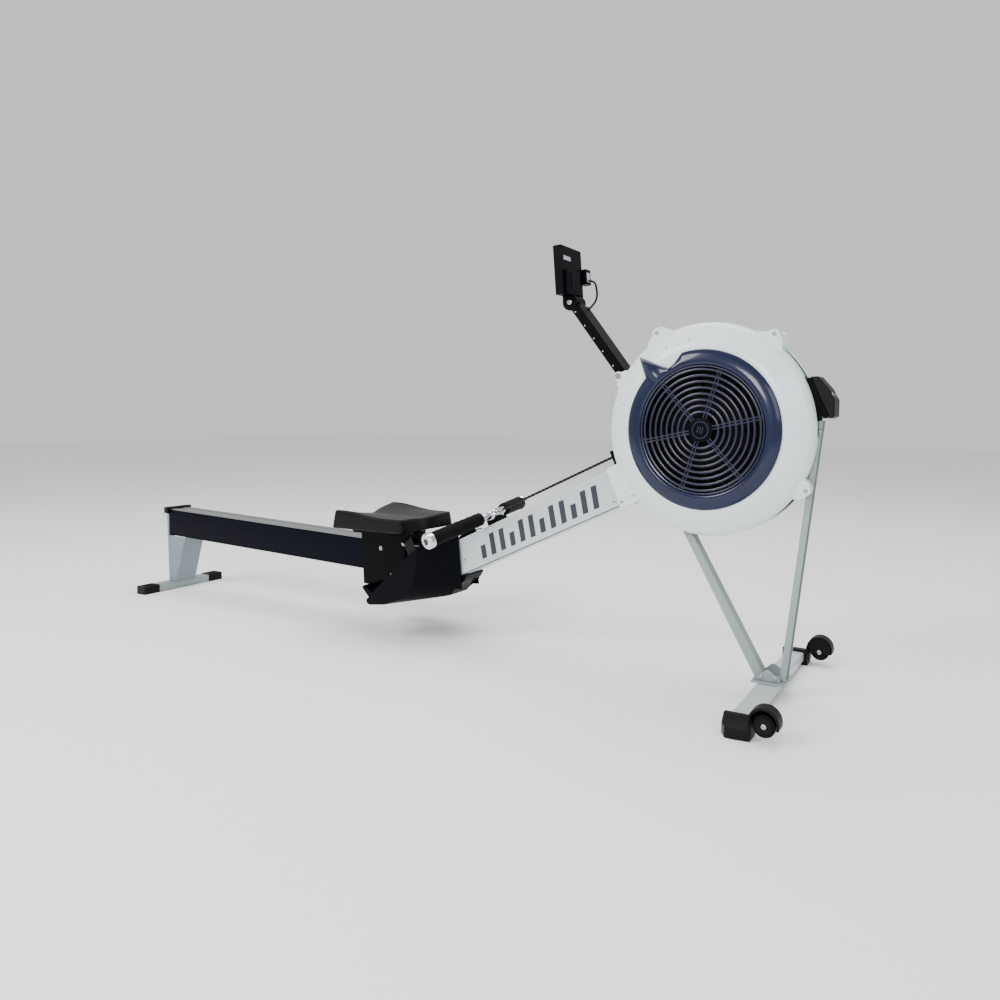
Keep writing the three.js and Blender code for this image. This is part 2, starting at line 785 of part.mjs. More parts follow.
// ---- Monitor arm, in its own frame: x along the arm from its pivot ---------------------
function monitor() {
  const { length, width } = ARM;
  const half = width / 2;
  const low = -ARM.over;
  const high = ARM.under;
  piece(
    "monitor_arm_bolt",
    shaped([
      discY(0, 0, 4, -52, 52, 12),
      discY(0, 0, 8, -52, -48 - GAP, 16),
      discY(0, 0, 8, 48 + GAP, 52, 16),
    ]),
    steel(),
    armFrame,
  );
  piece(
    "monitor_arm",
    shaped(
      [
        box(4, length - 24, -half, half, low, high),
        discY(0, 0, high, -half, half, 24),
        box(0, 10, -half, half, -high, high),
        box(length - 40, length - 14, -14, 14, low, high),
        discY(length, 0, 22, -14, 14, 28),
      ],
      [
        box(26, length - 40, -half + 2.5, half - 2.5, low + 2.5, high + 3),
        discY(0, 0, 4 + GAP, -half - 2, half + 2, 12),
      ],
    ),
    darkSteel(),
    armFrame,
  );
  const knuckleX = ARM.x + length * Math.cos(rad(ARM.angle));
  const knuckleZ = ARM.z + length * Math.sin(rad(ARM.angle));
  const screenSide = MONITOR.back - MONITOR.thick;
  const halfCase = MONITOR.width / 2;
  const ears = [];
  for (const [, y] of SIDES) {
    const span = [Math.min(y * (14 + GAP), y * 26), Math.max(y * (14 + GAP), y * 26)];
    ears.push(discY(knuckleX, knuckleZ, 22, ...span, 28));
    ears.push(box(knuckleX - 22, knuckleX + 12, ...span, knuckleZ + 4, MONITOR.bottom + 8));
  }
  const window = box(screenSide - 2, screenSide + 3, -42, 42, 1050, 1122);
  const buttonHoles = [-28, 0, 28].map((y) =>
    box(screenSide - 2, screenSide + 9, y - 8.5, y + 8.5, 1021.5, 1036.5),
  );
  const { back, bottom } = MONITOR;
  const tilt = (g) => g.translate(-back, 0, -bottom).rotateY(-MONITOR.lean).translate(back, 0, bottom);
  const lean = (list) => list.map(tilt);
  piece(
    "monitor_case",
    shaped(
      [
        ...lean([
          box(screenSide, MONITOR.back, -halfCase, halfCase, MONITOR.bottom, MONITOR.top),
          box(MONITOR.back - 1, MONITOR.back + 16, -46, 14, MONITOR.bottom, 1070),
          box(MONITOR.back - 1, MONITOR.back + 19, 44, 72, 1041, 1083),
        ]),
        ...ears,
      ],
      [...lean([window, ...buttonHoles]), discY(knuckleX, knuckleZ, 23, -14 - GAP, 14 + GAP, 28)],
    ),
    blackPlastic(),
  );
  const glass = tilt(box(screenSide + 0.6, screenSide + 3 - GAP, -41.5, 41.5, 1050.5, 1121.5));
  piece("monitor_screen", glass, finish(0x8a9a8a, 0.2, 0));
  ["right", "middle", "left"].forEach((place, i) => {
    const y = -28 + 28 * i;
    piece("monitor_button_" + place, tilt(box(screenSide - 2, screenSide + 5, y - 8, y + 8, 1022, 1036)), rubber());
  });
  // The sensor cable drops from the case in a loop to the upper side of the arm.
  piece(
    "sensor_cable",
    tube(
      [
        [MONITOR.back + 24, 58, 1052],
        [MONITOR.back + 38, 56, 1042],
        [MONITOR.back + 46, 50, 1014],
        [MONITOR.back + 46, 38, 990],
        [MONITOR.back + 40.5, 20, 975],
      ],
      3,
      20,
      8,
    ),
    rubber(),
  );
}

// ---- Handle ----------------------------------------------------------------------------
function handle() {
  const centre = [1470, 0, 386];
  const ends = { right: [1420, -235, 337], left: [1404, 235, 391] };
  const barRadius = 11;
  const gripRadius = 17.5;
  const barParts = [];
  for (const [side, y] of SIDES) {
    const end = new THREE.Vector3(...ends[side]);
    const start = new THREE.Vector3(...centre);
    const knee = start.clone().lerp(end, 0.2).add(new THREE.Vector3(6, 0, 5));
    const along = end.clone().sub(knee).normalize();
    const inside = start.clone().add(new THREE.Vector3(0, -2 * y, 0));
    const curve = [inside, knee, end.clone().addScaledVector(along, -2)];
    barParts.push(tube(curve.map((p) => p.toArray()), barRadius, 7, 14));
    const gripStart = knee.clone().addScaledVector(along, 12);
    const grip = [gripStart, end.clone().addScaledVector(along, -8)];
    const sleeve = tube(grip.map((p) => p.toArray()), gripRadius, 1, 20, barRadius + 2.2);
    piece("handle_grip_" + side, sleeve, rubber());
    const capFaces = [end.clone().addScaledVector(along, -4), end.clone().addScaledVector(along, 14)];
    barParts.push(tube(capFaces.map((p) => p.toArray()), 23, 1, 28));
  }
  barParts.push(discY(centre[0], centre[2], 16.5, -22, 22, 24));
  const tongue = box(8, 28, -5, 5, -4, 4).rotateY(-rad(BEAM.angle)).translate(...centre);
  barParts.push(tongue);
  piece("handle_bar", shaped(barParts), chrome());
}

rearEnd();
monorail();
seat();
mainBeam();
footrests();
frontEnd();
axlePlates();
driveTrain();
cage();
monitor();
handle();

export default machine;
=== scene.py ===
import math

import bmesh
import bpy
from mathutils import Matrix, Vector


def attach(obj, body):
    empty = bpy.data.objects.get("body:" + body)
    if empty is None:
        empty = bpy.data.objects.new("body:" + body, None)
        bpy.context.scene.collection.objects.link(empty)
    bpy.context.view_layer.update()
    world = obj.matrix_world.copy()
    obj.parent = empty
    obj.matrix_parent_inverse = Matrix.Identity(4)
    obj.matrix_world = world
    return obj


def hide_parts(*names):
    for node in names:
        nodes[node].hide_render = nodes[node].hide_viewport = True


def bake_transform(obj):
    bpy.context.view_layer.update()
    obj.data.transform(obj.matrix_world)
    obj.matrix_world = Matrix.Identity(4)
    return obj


# The looks of an air-resistance rowing machine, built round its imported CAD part.
# Shapes are written in millimetres in the machine's own local frames and turned to metres here.

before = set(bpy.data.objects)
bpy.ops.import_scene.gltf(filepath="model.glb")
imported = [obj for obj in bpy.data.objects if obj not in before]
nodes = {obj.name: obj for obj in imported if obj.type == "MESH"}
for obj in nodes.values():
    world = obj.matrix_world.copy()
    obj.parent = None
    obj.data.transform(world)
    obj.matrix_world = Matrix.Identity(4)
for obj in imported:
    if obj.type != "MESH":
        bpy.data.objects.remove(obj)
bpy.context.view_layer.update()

# The layout's X is measured from the rear foot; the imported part's origin is this far in front of it.
ORIGIN_X = 1203.5
RIGHT, LEFT = -1, 1
SIDES = (("right", RIGHT), ("left", LEFT))


def frame_at(x, z, degrees):
    """A local frame in millimetres at x, z on the layout, leaning up by an angle."""
    turn = Matrix.Rotation(-math.radians(degrees), 4, "Y")
    return Matrix.Translation(((x - ORIGIN_X) / 1000, 0, z / 1000)) @ turn @ Matrix.Scale(0.001, 4)


BEAM_ANGLE = 25
BEAM_X, BEAM_Z = 1362, 304
RISE = math.radians(BEAM_ANGLE)
# The flywheel's axle, along and above the beam's top face, and in the machine's own directions.
AXLE_S, AXLE_H = 841, -13.7
AXLE_X = BEAM_X + AXLE_S * math.cos(RISE) - AXLE_H * math.sin(RISE)
AXLE_Z = BEAM_Z + AXLE_S * math.sin(RISE) + AXLE_H * math.cos(RISE)
# The monitor arm's lower pivot and lean, and the pivot at its upper end.
ARM_X, ARM_Z, ARM_ANGLE, ARM_LENGTH = 1889, 782, 127.95, 257
KNUCKLE = (
    ARM_X + ARM_LENGTH * math.cos(math.radians(ARM_ANGLE)),
    ARM_Z + ARM_LENGTH * math.sin(math.radians(ARM_ANGLE)),
)
MACHINE = frame_at(0, 0, 0)
RAIL = frame_at(-6, 305, -math.degrees(math.atan(0.025)))
BEAM = frame_at(BEAM_X, BEAM_Z, BEAM_ANGLE)
SOLE = frame_at(1104, 117, 42)
ARM = frame_at(ARM_X, ARM_Z, ARM_ANGLE)
CAGE = frame_at(AXLE_X, AXLE_Z, 0)


# ---- Materials ---------------------------------------------------------------------------
def linear(rgb):
    """A screen colour, 0 to 255 a channel, as linear light with alpha."""

    def channel(c):
        return c / 12.92 if c < 0.04 else ((c + 0.055) / 1.055) ** 2.4

    return tuple(channel(c / 255) for c in rgb) + (1,)


def material(
    name, rgb, rough=0.5, metal=0.0, spread=0.06, grain=400, bump=0.05, coat=0.0, stretch=(1, 1, 1), weave=0,
    ior=1.5,
):
    """A painted, moulded or metal finish with its own colour drift, roughness drift and surface grain."""
    made = bpy.data.materials.new(name)
    made.use_nodes = True
    tree = made.node_tree
    tree.nodes.clear()
    link = tree.links.new
    out = tree.nodes.new("ShaderNodeOutputMaterial")
    shader = tree.nodes.new("ShaderNodeBsdfPrincipled")
    link(shader.outputs[0], out.inputs[0])
    shader.inputs["Metallic"].default_value = metal
    shader.inputs["IOR"].default_value = ior
    shader.inputs["Coat Weight"].default_value = coat
    shader.inputs["Coat Roughness"].default_value = 0.08
    place = tree.nodes.new("ShaderNodeTexCoord")
    sized = tree.nodes.new("ShaderNodeMapping")
    sized.inputs["Scale"].default_value = stretch
    link(place.outputs["Object"], sized.inputs[0])
    broad = tree.nodes.new("ShaderNodeTexNoise")
    broad.inputs["Scale"].default_value = 9
    broad.inputs["Detail"].default_value = 5
    link(sized.outputs[0], broad.inputs["Vector"])
    fine = tree.nodes.new("ShaderNodeTexNoise")
    fine.inputs["Scale"].default_value = grain
    fine.inputs["Detail"].default_value = 3
    link(sized.outputs[0], fine.inputs["Vector"])
    base = linear(rgb)
    colours = tree.nodes.new("ShaderNodeMix")
    colours.data_type = "RGBA"
    colours.inputs["A"].default_value = tuple(c * (1 - spread) for c in base[:3]) + (1,)
    colours.inputs["B"].default_value = tuple(min(1, c * (1 + spread)) for c in base[:3]) + (1,)
    link(broad.outputs["Fac"], colours.inputs["Factor"])
    link(colours.outputs["Result"], shader.inputs["Base Color"])
    drift = tree.nodes.new("ShaderNodeMapRange")
    drift.inputs["To Min"].default_value = max(0.03, rough * 0.85)
    drift.inputs["To Max"].default_value = min(1, rough * 1.18)
    link(fine.outputs["Fac"], drift.inputs["Value"])
    link(drift.outputs["Result"], shader.inputs["Roughness"])
    height = fine.outputs["Fac"]
    if weave:
        bands = tree.nodes.new("ShaderNodeTexWave")
        bands.inputs["Scale"].default_value = weave
        bands.inputs["Distortion"].default_value = 0.4
        link(place.outputs["Object"], bands.inputs["Vector"])
        height = bands.outputs["Fac"]
    relief = tree.nodes.new("ShaderNodeBump")
    relief.inputs["Strength"].default_value = bump
    relief.inputs["Distance"].default_value = 0.001
    link(height, relief.inputs["Height"])
    link(relief.outputs[0], shader.inputs["Normal"])
    return made


M = {
    "silver_paint": material("silver_paint", (188, 197, 200), 0.34, 0.25, 0.03, 900, 0.03, 0.25),
    "grey_paint": material("grey_paint", (136, 150, 149), 0.4, 0.15, 0.05, 900, 0.04, 0.1),
    "rail_black": material("rail_black", (2, 5, 15), 0.42, 0.0, 0.1, 700, 0.04, 0, ior=1.14),
    "track_steel": material("track_steel", (140, 143, 146), 0.34, 1, 0.08, 260, 0.05, 0, (1, 22, 22)),
    "black_steel": material("black_steel", (4, 4, 6), 0.4, 0.0, 0.12, 1400, 0.06, 0, ior=1.14),
    "bare_steel": material("bare_steel", (168, 170, 174), 0.26, 1, 0.06, 500, 0.04),
    "chain_steel": material("chain_steel", (34, 34, 38), 0.36, 0.8, 0.2, 800, 0.06),
    "chrome": material("chrome", (214, 217, 221), 0.1, 1, 0.03, 200, 0.01),
    "shell_plastic": material("shell_plastic", (208, 224, 223), 0.32, 0, 0.02, 700, 0.02, 0.25),
    "screen_steel": material("screen_steel", (26, 29, 34), 0.4, 0.4, 0.1, 900, 0.05),
    "navy_plastic": material("navy_plastic", (1, 15, 48), 0.26, 0.1, 0.08, 900, 0.03, 0.4, ior=1.33),
    "grille_plastic": material("grille_plastic", (10, 18, 44), 0.24, 0, 0.1, 900, 0.04, 0.3, ior=1.45),
    "black_plastic": material("black_plastic", (4, 5, 9), 0.42, 0, 0.15, 1600, 0.12, 0, ior=1.14),
    "cap_rubber": material("cap_rubber", (3, 3, 5), 0.5, 0, 0.15, 1200, 0.14, 0, ior=1.26),
    "seat_foam": material("seat_foam", (3, 3, 6), 0.4, 0, 0.12, 900, 0.16, 0, ior=1.26),
    "grip_foam": material("grip_foam", (6, 6, 8), 0.75, 0, 0.18, 1500, 0.35, 0, ior=1.22),
    "cord_rubber": material("cord_rubber", (9, 9, 11), 0.5, 0, 0.15, 700, 0.1, 0, ior=1.36),
    "strap_webbing": material("strap_webbing", (13, 13, 16), 0.75, 0, 0.15, 900, 0.5, 0, (1, 1, 1), 160, 1.3),
    "display": material("display", (96, 112, 98), 0.14, 0, 0.05, 500, 0.01, 0.4),
}
LABEL = material("label_print", (176, 181, 188), 0.4, 0.2, 0.05, 500, 0.03)
# The fan's near-black is partly its own black plastic and partly painted shade for the dark inside of the
# cage.
FAN_BLACK_AND_SHADE = material("fan_black_and_painted_shade", (3, 3, 4), 0.6, 0, 0.2, 900, 0.05, 0, ior=1.2)
LEG_PAINT = material("leg_paint", (116, 128, 136), 0.42, 0.1, 0.05, 900, 0.04, 0.1)
# This dark grey is print on the beam's slanted bars and painted shade on the strips along the beam's lower
# edges.
PRINT_AND_PAINTED_SHADE = material("print_and_painted_shade", (42, 48, 56), 0.4, 0, 0.08, 700, 0.03, 0, ior=1.4)


# ---- Shape building ----------------------------------------------------------------------
def arc(cx, cz, r, a0, a1, n):
    """Points on a circle in a profile's own plane, from a0 to a1 degrees."""
    angles = [math.radians(a0 + (a1 - a0) * i / n) for i in range(n + 1)]
    return [(cx + r * math.cos(a), cz + r * math.sin(a)) for a in angles]


def rounded(x0, x1, z0, z1, r, n=5):
    """A rectangle with round corners."""
    return (
        arc(x1 - r, z0 + r, r, -90, 0, n)
        + arc(x1 - r, z1 - r, r, 0, 90, n)
        + arc(x0 + r, z1 - r, r, 90, 180, n)
        + arc(x0 + r, z0 + r, r, 180, 270, n)
    )


class Shape:
    """Closed bodies gathered into one mesh, in millimetres in one local frame."""

    def __init__(self, where=MACHINE):
        self.where, self.verts, self.faces = where, [], []

    def add(self, verts, faces, turn=None):
        base = len(self.verts)
        self.verts += [turn @ Vector(v) if turn else Vector(v) for v in verts]
        self.faces += [[i + base for i in f] for f in faces]
        return self

    def loft(self, rings, closed=False, turn=None):
        """Rings of equal count joined in order: capped at both ends, or closed on itself."""
        n = len(rings[0])
        faces = []
        for k in range(len(rings) if closed else len(rings) - 1):
            a, b = k * n, ((k + 1) % len(rings)) * n
            faces += [[a + i, a + (i + 1) % n, b + (i + 1) % n, b + i] for i in range(n)]
        if not closed:
            faces += [list(range(n))[::-1], [(len(rings) - 1) * n + i for i in range(n)]]
        return self.add([v for ring in rings for v in ring], faces, turn)

    def box(self, x0, x1, y0, y1, z0, z1, turn=None):
        ring = [(x0, z0), (x1, z0), (x1, z1), (x0, z1)]
        return self.loft([[(x, y, z) for x, z in ring] for y in (y0, y1)], turn=turn)

    def slab(self, outline, y0, y1, turn=None):
        return self.loft([[(x, y, z) for x, z in outline] for y in (y0, y1)], turn=turn)

    def slab_x(self, outline, x0, x1, turn=None):
        return self.loft([[(x, y, z) for y, z in outline] for x in (x0, x1)], turn=turn)

    def stack(self, rings):
        """Plan outlines of (x, y) at rising heights, given as (z, outline) pairs."""
        return self.loft([[(x, y, z) for x, y in outline] for z, outline in rings])

    def disc(self, x, z, r, y0, y1, n=40, turn=None):
        return self.slab(arc(x, z, r, 0, 360 * (n - 1) / n, n - 1), y0, y1, turn)

    def turned(self, profile, x=0, z=0, n=96, turn=None):
        """A closed profile of (radius, y) turned about the Y axis through x, z."""
        rings = []
        for k in range(n):
            c, s = math.cos(2 * math.pi * k / n), math.sin(2 * math.pi * k / n)
            rings.append([(x + r * c, y, z + r * s) for r, y in profile])
        return self.loft(rings, closed=True, turn=turn)

    def tube(self, points, radius, n=20, widths=None):
        """A round bar along points. widths gives a radius for each point."""
        line = [Vector(p) for p in points]
        up = None
        rings = []
        for i, p in enumerate(line):
            along = (line[min(i + 1, len(line) - 1)] - line[max(i - 1, 0)]).normalized()
            if up is None:
                up = along.orthogonal().normalized()
            up = (up - along * up.dot(along)).normalized()
            side = along.cross(up)
            r = widths[i] if widths else radius
            turns = [2 * math.pi * k / n for k in range(n)]
            rings.append([p + (up * math.cos(t) + side * math.sin(t)) * r for t in turns])
        return self.loft(rings)

    def bolt(self, point, direction, r, height, hexagon=False):
        """A screw head standing on point: domed with a socket, or a hexagon on a washer."""
        z = Vector(direction).normalized()
        x = z.orthogonal().normalized()
        y = z.cross(x)
        p = Vector(point)

        def ring(rad, h, n=24, phase=0):
            ts = [2 * math.pi * (k + phase) / n for k in range(n)]
            return [p + (x * math.cos(t) + y * math.sin(t)) * rad + z * h for t in ts]

        if hexagon:
            self.loft([ring(r * 1.25, -0.5), ring(r * 1.25, 0.14 * r)])
            return self.loft([ring(r, 0, 6), ring(r, height * 0.8, 6), ring(r * 0.86, height, 6)])
        dome = [(1, 0.25), (0.93, 0.6), (0.72, 0.9), (0.5, 1), (0.42, 1), (0.42, 0.35)]
        return self.loft([ring(r, -0.8)] + [ring(r * wide, height * up) for wide, up in dome])

    def made(
        self, name, finish, body, replaces=(), bevel=0.0, steps=2, smooth=35, subdivide=0, look=None,
    ):
        """The bodies as one scene piece with its finish, its moving body and the CAD nodes it stands for."""
        data = bpy.data.meshes.new(name)
        data.from_pydata([self.where @ v for v in self.verts], [], self.faces)
        mesh = bmesh.new()
        mesh.from_mesh(data)
        bmesh.ops.recalc_face_normals(mesh, faces=mesh.faces)
        mesh.to_mesh(data)
        mesh.free()
        data.validate()
        obj = bpy.data.objects.new(name, data)
        bpy.context.scene.collection.objects.link(obj)
        data.materials.append(look or M[finish])
        data.shade_smooth()
        data.set_sharp_from_angle(angle=math.radians(smooth))
        if bevel:
            round_edges(obj, bevel, steps, smooth)
        if subdivide:
            divided = obj.modifiers.new("smooth", "SUBSURF")
            divided.levels = divided.render_levels = subdivide
        if body:
            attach(obj, body)
        if replaces:
            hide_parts(*replaces)
        return obj


def round_edges(obj, bevel, steps, smooth):
    """A small radius in millimetres on each edge sharper than smooth degrees."""
    rounding = obj.modifiers.new("edge", "BEVEL")
    rounding.width = bevel / 1000
    rounding.segments = steps
    rounding.limit_method = "ANGLE"
    rounding.angle_limit = math.radians(smooth)
    rounding.harden_normals = True


def keep(name, finish, bevel=1.0, steps=2, smooth=35, look=None):
    """A CAD node shown as it is, with its edges rounded."""
    node = nodes[name]
    if "custom_normal" in node.data.attributes:
        node.data.attributes.remove(node.data.attributes["custom_normal"])
    node.data.materials.clear()
    node.data.materials.append(look or M[finish])
    weld = node.modifiers.new("weld", "WELD")
    weld.merge_threshold = 2e-6
    node.data.shade_smooth()
    round_edges(node, bevel, steps, smooth)


def sides(y, a, b):
    """The span from a to b out from the middle on one side, low value first."""
    return min(y * a, y * b), max(y * a, y * b)


# ---- Rear foot, rail and seat ------------------------------------------------------------
def rear_end():
    keep("rear_foot_bar", "grey_paint", 4, 3)
    keep("rear_leg", "grey_paint", 1.2, look=LEG_PAINT)
    keep("rail_end_stop", "cap_rubber", 3, 3)
    for side, y in SIDES:
        keep("rear_foot_cap_" + side, "cap_rubber", 4, 3)
    ribs = Shape()
    for _, y in SIDES:
        for x in (-15, -5, 5, 15):
            ribs.box(x - 1.6, x + 1.6, *sides(y, 112, 150), 28.5, 30.2)
    ribs.made("rear_foot_cap_ribs", "cap_rubber", "frame", bevel=0.6)
    bolts = Shape()
    for y in (-24, 24):
        bolts.bolt((-11.2, y, 240), (-1, 0, 0), 6.5, 3.6)
        bolts.bolt((16, y, 27), (0, 0, 1), 5, 3)
    bolts.made("rear_leg_bolts", "bare_steel", "frame")


def monorail():
    outer = rounded(-39.5, 39.5, -101, -3.2, 6)
    inner = rounded(-36.5, 36.5, -98, -6.2, 3.5)
    tube = Shape(RAIL)
    ends = ((0, outer), (1346, outer), (1346, inner), (0, inner))
    tube.loft([[(x, y, z) for y, z in ring] for x, ring in ends], closed=True)
    tube.made("monorail_tube", "rail_black", "frame", ["monorail"], 0.5)
    track = Shape(RAIL)
    # Two raised wheel tracks with a shallow groove between them.
    strip = [(-39.3, -3), (39.3, -3), (39.3, -0.8), (36, 0), (12, 0), (10.5, -0.9)]
    strip += [(-10.5, -0.9), (-12, 0), (-36, 0), (-39.3, -0.8)]
    track.slab_x(strip, 0.5, 1316)
    track.made("rail_track_strip", "track_steel", "frame", ["rail_track"], 0.3)
    # A thin bead runs along the top and the bottom of each side.
    trim = Shape(RAIL)
    for y in (RIGHT, LEFT):
        trim.box(1, 1250, *sides(y, 39.4, 40.2), -12, -8.5)
        trim.box(1, 1250, *sides(y, 39.4, 40.2), -97, -93.5)
    trim.made("rail_side_beads", "rail_black", "frame", bevel=0.3)


def seat_height(u, v):
    """Height of the seat's upper face; u runs 0 to 1 from back to front, v is -1 to 1 across."""
    rear = 379 - 23 * (1 - abs(v) ** 1.4)
    front = 362 - 5 * math.exp(-((v / 0.35) ** 2))
    t = min(max((u - 0.12) / 0.63, 0), 1)
    blend = t * t * (3 - 2 * t)
    return rear * (1 - blend) + front * blend


def seat():
    rear, front, half = 947.0, 1219.0, 132.0
    corner = 32.0
    cells = 44

    def spaced(i):
        t = 2 * i / cells - 1
        return 1.5 * t - 0.5 * t**3

    def plan(u, v):
        """Plan position of a grid point, with round front corners and a notch at the back."""
        back = rear + 25 * math.exp(-((v / 0.3) ** 2)) + 3 * v**8
        lead = front - 5 * math.exp(-((v / 0.3) ** 2))
        x = back + (lead - back) * u
        into = max(0.0, x - (lead - corner))
        reach = half - corner + math.sqrt(max(0.0, corner**2 - into**2))
        return x, v * min(reach, half * (0.955 + 0.045 * (1 - u) ** 2))

    def roll(distance, radius):
        d = min(distance, radius) / radius
        return radius * (1 - math.sqrt(1 - (1 - d) ** 2))

    # A pillow section: the dished top, rolled edges all round, tall sides and a flat underside.
    verts, faces = [], []
    for layer in (0, 1):
        for i in range(cells + 1):
            for j in range(cells + 1):
                u, v = 0.5 + 0.5 * spaced(i), spaced(j)
                x, y = plan(u, v)
                inward = min(half * (1 - abs(v)), (front - rear) * (0.5 - abs(u - 0.5)))
                z = seat_height(u, v) - roll(inward, 8) if layer == 0 else 319.5 + roll(inward, 5)
                x += 11 * (1 - u) ** 4 if layer == 0 else 7 * u**4
                verts.append((x, y, z))
    width = cells + 1
    count = width * width
    for i in range(cells):
        for j in range(cells):
            a = i * width + j
            faces.append([a, a + width, a + width + 1, a + 1])
            b = a + count
            faces.append([b, b + 1, b + width + 1, b + width])
    rim = [i * width for i in range(cells)] + [cells * width + j for j in range(cells)]
    rim += [i * width + cells for i in range(cells, 0, -1)] + list(range(cells, 0, -1))
    for k, a in enumerate(rim):
        b = rim[(k + 1) % len(rim)]
        faces.append([a, b, b + count, a + count])
    pad = Shape()
    pad.add(verts, faces)
    cushion = pad.made("seat_cushion", "seat_foam", "seat", ["seat_pad"], smooth=80, subdivide=1)


def carriage():
    keep("seat_carriage", "black_steel", 0.8)
    for name in ("seat_wheelset_rear", "seat_wheelset_front"):
        keep(name, "black_plastic", 0.8)
    keep("seat_guide_roller", "bare_steel", 0.8)
    bolts = Shape()
    for y in (RIGHT, LEFT):
        for x, z in ((1068, 254), (1160, 276), (1112, 172)):
            bolts.bolt((x, y * 46, z), (0, y, 0), 5.5, 3.5, True)
    bolts.made("seat_carriage_bolts", "bare_steel", "seat")
    flange = Shape()
    flange.box(992, 1164, -96, 96, 312.6, 317.6)
    for y in (RIGHT, LEFT):
        flange.slab([(998, 306), (1150, 306), (1156, 313), (992, 313)], *sides(y, 88, 92))
    flange.made("seat_mounting_plate", "black_steel", "seat", bevel=0.8)


# ---- Beam, its graphic and the joint ------------------------------------------------------
def beam():
    outer = rounded(-40, 40, -103, 0, 7)
    inner = rounded(-37.5, 37.5, -100.5, -2.5, 4.5)
    tube = Shape(BEAM)
    # The lower end is cut along the front edge of the joint's side plates.
    near = [[(3.9 + 0.371 * z, y, z) for y, z in ring] for ring in (outer, inner)]
    far = [[(570, y, z) for y, z in ring] for ring in (outer, inner)]
    tube.loft([near[0], far[0], far[1], near[1]], closed=True)
    tube.made("main_beam_tube", "silver_paint", "frame", ["main_beam"], 0.6)
    # A row of plain slanted bars stands where a maker would print a name.
    bars = Shape(BEAM)
    for y in (RIGHT, LEFT):
        for k in range(12):
            s = 64 + 36.5 * k
            tall = 60 if k % 3 else 38
            low = -82
            lean = 0.24 * tall
            outline = [(s, low), (s + 18, low), (s + 18 + lean, low + tall), (s + lean, low + tall)]
            bars.slab(outline, *sides(y, 39.9, 40.25))
    bars.made("beam_graphic", "silver_paint", "frame", look=PRINT_AND_PAINTED_SHADE)
    # A thin dark strip along the lower edge of each beam side is painted shade for the beam's shadowed
    # underside.
    shade_lines = Shape(BEAM)
    for y in (RIGHT, LEFT):
        shade_lines.box(-26, 540, *sides(y, 39.4, 40.3), -100.6, -98.4)
    shade_lines.made("beam_painted_shade_lines", "silver_paint", "frame", look=PRINT_AND_PAINTED_SHADE)
    keep("handle_rest", "black_plastic", 1.5)
    keep("frame_joint_bracket", "black_steel", 1.2)
    keep("footrest_crossbar", "bare_steel", 0.6)
    bolts = Shape(BEAM)
    for y in (RIGHT, LEFT):
        for s, h in ((4, -62), (530, -84)):
            bolts.bolt((s, y * 40, h), (0, y, 0), 4, 2.4)
    bolts.made("beam_screws", "bare_steel", "frame")


# ---- Footrests ---------------------------------------------------------------------------
def footrests():
    for side, y in SIDES:
        keep("footplate_" + side, "black_plastic", 2.5, 3)
        keep("heel_cup_" + side, "black_plastic", 1.5, 2)
        tread = Shape(SOLE)
        for k in range(3, 11):
            a = 128 + 16 * k
            if not 218 < a < 262:
                tread.box(a, a + 6, *sides(y, 54, 144), 0, 2.2)
        tread.made("foot_tread_" + side, "black_plastic", "frame", bevel=0.8)
        middle = y * 98
        outer, inner = [], []
        for i in range(33):
            t = math.pi * i / 32
            outer.append((middle + 49 * math.cos(t), 0.4 + 61.5 * math.sin(t)))
            inner.append((middle + 46.4 * math.cos(t), 0.4 + 59 * math.sin(t)))
        band = Shape(SOLE)
        band.slab_x(outer + inner[::-1], 223, 257)
        band.made("strap_band_" + side, "strap_webbing", "frame", ["foot_strap_" + side], 0.4, smooth=60)
        buckle = Shape(SOLE)
        where = Matrix.Translation((240, middle + y * 36, 46)) @ Matrix.Rotation(y * 0.75, 4, "X")
        buckle.box(-21, 21, -13, 13, -1, 5, turn=where)
        buckle.box(-15, 15, -3, 3, 4, 8, turn=where)
        buckle.made("strap_buckle_" + side, "black_plastic", "frame", bevel=1.2)
        clip = Shape(SOLE)
        clip.bolt((122, y * 72, 0), (0, 0, 1), 4.5, 3)
        clip.bolt((122, y * 124, 0), (0, 0, 1), 4.5, 3)
        clip.made("footplate_screws_" + side, "bare_steel", "frame")


# ---- Front foot, struts, wheels ------------------------------------------------------------
def front_end():
    keep("front_foot_bar", "silver_paint", 4, 3)
    keep("strut_base_plate", "grey_paint", 1)
    keep("rear_strut", "grey_paint", 0.9)
    keep("front_strut", "grey_paint", 0.9)
    for side, y in SIDES:
        front_cap(side, y)
    plate = Shape()
    for y in (RIGHT, LEFT):
        flange = [(2259, 40.6), (2261, 45), (2284, 66), (2292, 67), (2316, 52), (2322, 40.6)]
        plate.slab(flange, *sides(y, 27, 30))
    plate.made("strut_base_flanges", "grey_paint", "frame", bevel=0.6)
    bolts = Shape()
    for y in (RIGHT, LEFT):
        for x in (2273, 2306):
            bolts.bolt((x, y * 30, 48), (0, y, 0), 5, 4, True)
        bolts.bolt((2395, y * 15, 648), (0, y, 0), 5, 3)
    bolts.made("strut_bolts", "bare_steel", "frame")


